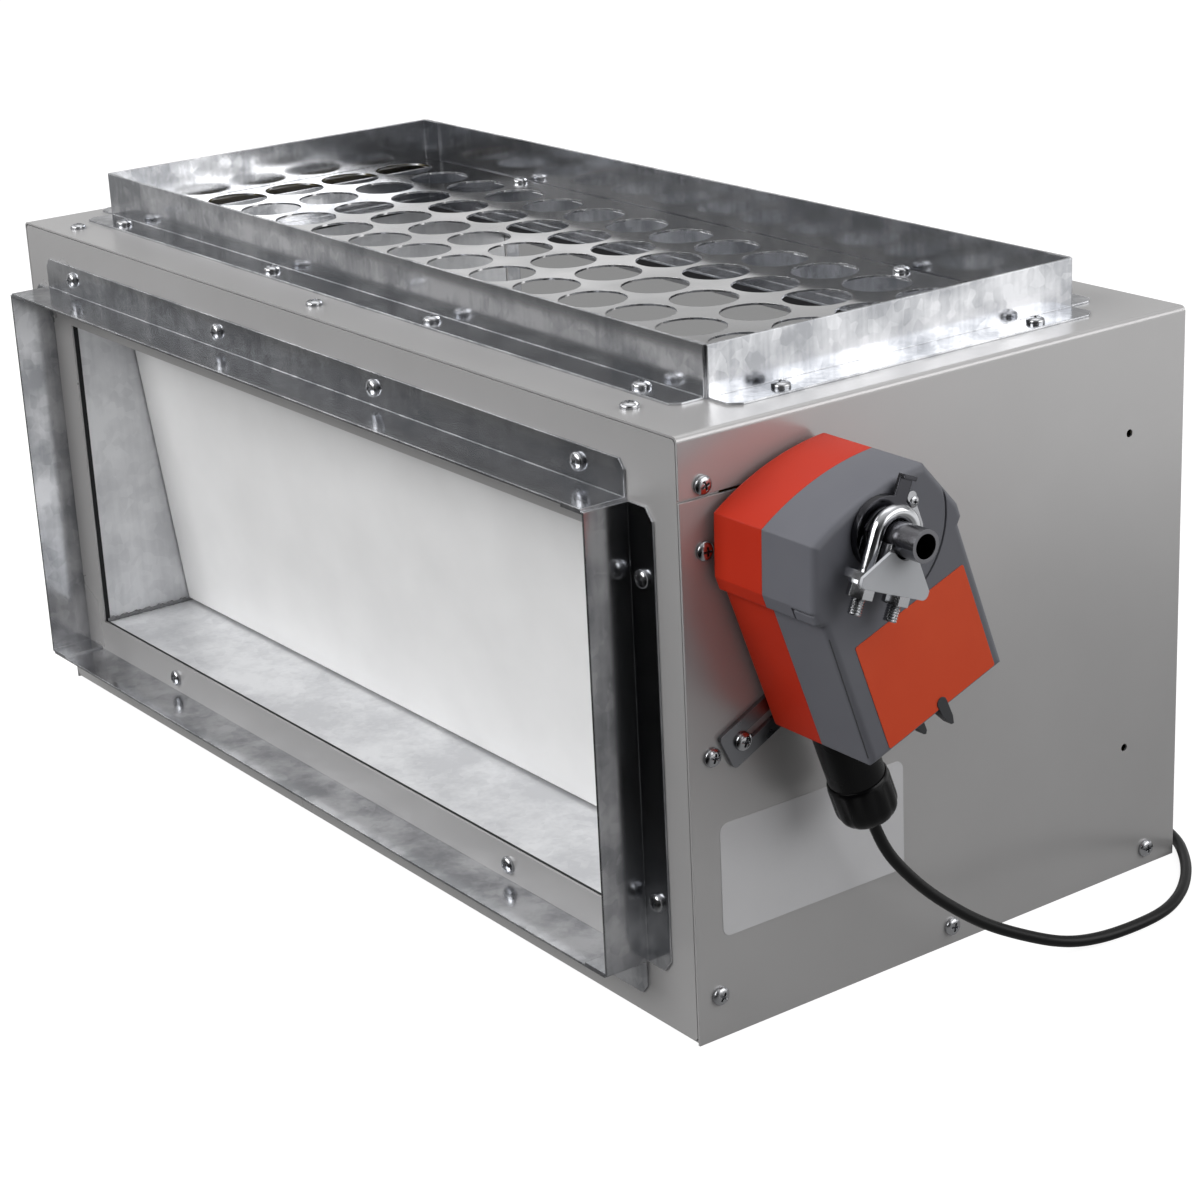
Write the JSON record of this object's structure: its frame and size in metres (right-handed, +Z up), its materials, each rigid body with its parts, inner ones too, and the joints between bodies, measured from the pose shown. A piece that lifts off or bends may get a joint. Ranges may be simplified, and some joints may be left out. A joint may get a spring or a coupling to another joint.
{
  "type": "bypass damper",
  "caption": "Insulated sheet metal bypass damper box with rectangular duct collars, a swinging blade and a spring return actuator on its side.",
  "frame": {"origin": "middle of the underside of the cabinet", "axes": "+Z up out of the top collar, -Y out of the front collar, +X out of the side with the actuator"},
  "size_m": [0.6442, 0.3646, 0.276],
  "materials": {
    "satin_sheet": "satin silver-grey coated sheet steel",
    "galvanised": "hot dip galvanised sheet with a soft spangle",
    "bright_plate": "bright galvanised sheet, punched",
    "white_enamel": "satin white coil coating",
    "zinc": "bright zinc plated steel",
    "shaft_steel": "drawn steel tube",
    "bright_clamp": "bright nickel plate",
    "indicator_grey": "smooth light grey",
    "orange_plastic": "moulded orange plastic, fine grain",
    "grey_plastic": "moulded grey plastic, fine grain",
    "dark_grey_plastic": "moulded dark grey plastic",
    "orange_label": "coated orange film, bare",
    "white_label": "off-white polyester film, bare",
    "dark_zinc": "dull zinc plated strip",
    "black_nylon": "black moulded nylon",
    "black_cord": "black cord jacket",
    "wire_core": "insulated wire ends",
    "foam": "dark closed cell foam and rubber",
    "glass_fibre": "yellow glass fibre board",
    "foam_board": "white rigid foam board",
    "bush_nylon": "natural nylon",
    "board_green": "green circuit board",
    "gear_steel": "machined steel",
    "gear_brass": "machined brass",
    "spring_steel": "blued spring strip"
  },
  "bodies": {
    "cabinet": {"actuator_base": "orange_plastic", "actuator_cover": "grey_plastic", "actuator_label": "orange_label", "anti_rotation_strap": "dark_zinc", "base_and_back": "satin_sheet", "bush_left": "bush_nylon", "bush_right": "bush_nylon", "circuit_board": "board_green", "conduit_adapter": "black_nylon", "cord_coil": "black_cord", "cord_lead": "black_cord", "cord_wires": "wire_core", "cover_hooks": "dark_grey_plastic", "drive_motor": "gear_steel", "floor_screws": "zinc", "front_collar": "galvanised", "front_collar_screws": "zinc", "front_header": "galvanised", "front_panel": "satin_sheet", "gear_plate": "gear_steel", "gland_nut": "black_nylon", "header_seal": "foam", "idler_pin": "gear_steel", "insulation_floor": "glass_fibre", "insulation_left": "glass_fibre", "insulation_right": "glass_fibre", "liner_floor": "galvanised", "liner_left": "galvanised", "liner_right": "galvanised", "perforated_plate": "bright_plate", "plate_screws": "zinc", "rating_label": "white_label", "rear_collar": "galvanised", "rear_collar_screws": "zinc", "return_spring": "spring_steel", "side_screws": "zinc", "stop_clip": "zinc", "strap_screw": "zinc", "top_collar": "galvanised", "top_collar_screws": "zinc", "top_edge_screws": "zinc", "top_seal": "foam", "top_stop_frame": "galvanised", "wrapper": "satin_sheet"},
    "blade": {"damper_shaft": "shaft_steel", "blade_front_skin": "white_enamel", "blade_core": "foam_board", "blade_back_skin": "galvanised", "blade_rivets": "zinc", "blade_wiper": "foam", "output_hub": "gear_steel", "sector_gear": "gear_steel", "clamp_disc": "bright_clamp", "clamp_saddle": "bright_clamp", "clamp_u_bolt": "bright_clamp", "clamp_nuts": "bright_clamp", "position_indicator": "indicator_grey"},
    "idler": {"idler_gear": "gear_brass"},
    "motor": {"motor_rotor": "gear_steel"}
  },
  "joints": [
    {"name": "blade_swing", "type": "hinge", "parent": "cabinet", "child": "blade", "pos_m": [0, -0.0923, 0.2225], "axis": [1, 0, 0], "range_deg": [0, 83], "stiffness_Nm_per_rad": 0.6, "springref_deg": -57.3},
    {"name": "idler_spin", "type": "hinge", "parent": "cabinet", "child": "idler", "pos_m": [0.277, -0.08204, 0.19431], "axis": [1, 0, 0], "range_deg": [-332, 0]},
    {"name": "motor_spin", "type": "hinge", "parent": "cabinet", "child": "motor", "pos_m": [0.277, -0.08784, 0.17517], "axis": [1, 0, 0], "range_deg": [0, 996]}
  ],
  "couplings": [
    {"joint": "idler_spin", "follows": "blade_swing", "ratio": -4},
    {"joint": "motor_spin", "follows": "blade_swing", "ratio": 12}
  ]
}
